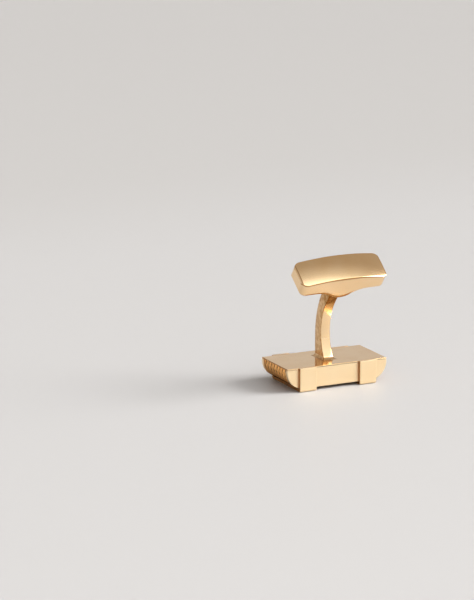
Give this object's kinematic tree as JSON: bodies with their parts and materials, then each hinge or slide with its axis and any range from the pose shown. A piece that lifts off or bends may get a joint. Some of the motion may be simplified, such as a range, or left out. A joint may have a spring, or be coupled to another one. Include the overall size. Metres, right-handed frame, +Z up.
{
  "type": "cufflink",
  "caption": "Rectangular cufflink with a rope-pattern face under raised cross bands, a curved post and a swivelling toggle bar, resting face down.",
  "frame": {"origin": "on the floor under the middle of the whole piece, level with the fronts of the bands, on which it lies", "axes": "+Z up, from the bands' fronts towards the back plate, the post and the toggle; +X along the head; +Y across the head, away from the side that the toggle leans towards"},
  "size_m": [0.02, 0.0146, 0.0242],
  "materials": {
    "polished_gold": "polished gold plating",
    "rope_gold": "polished gold plating over a raised rope pattern"
  },
  "bodies": {
    "head": {"head_case": "polished_gold", "rope_panel": "rope_gold", "band_left_near": "polished_gold", "band_left_far": "polished_gold", "band_right_near": "polished_gold", "band_right_far": "polished_gold"},
    "toggle": {"toggle": "polished_gold", "pivot_pin": "polished_gold"}
  },
  "joints": [
    {"name": "toggle_swivel", "type": "hinge", "parent": "head", "child": "toggle", "pos_m": [0, -0.00236, 0.01895], "axis": [0, 0.788, 0.6157], "range_deg": [-88.5, 91.5]}
  ]
}
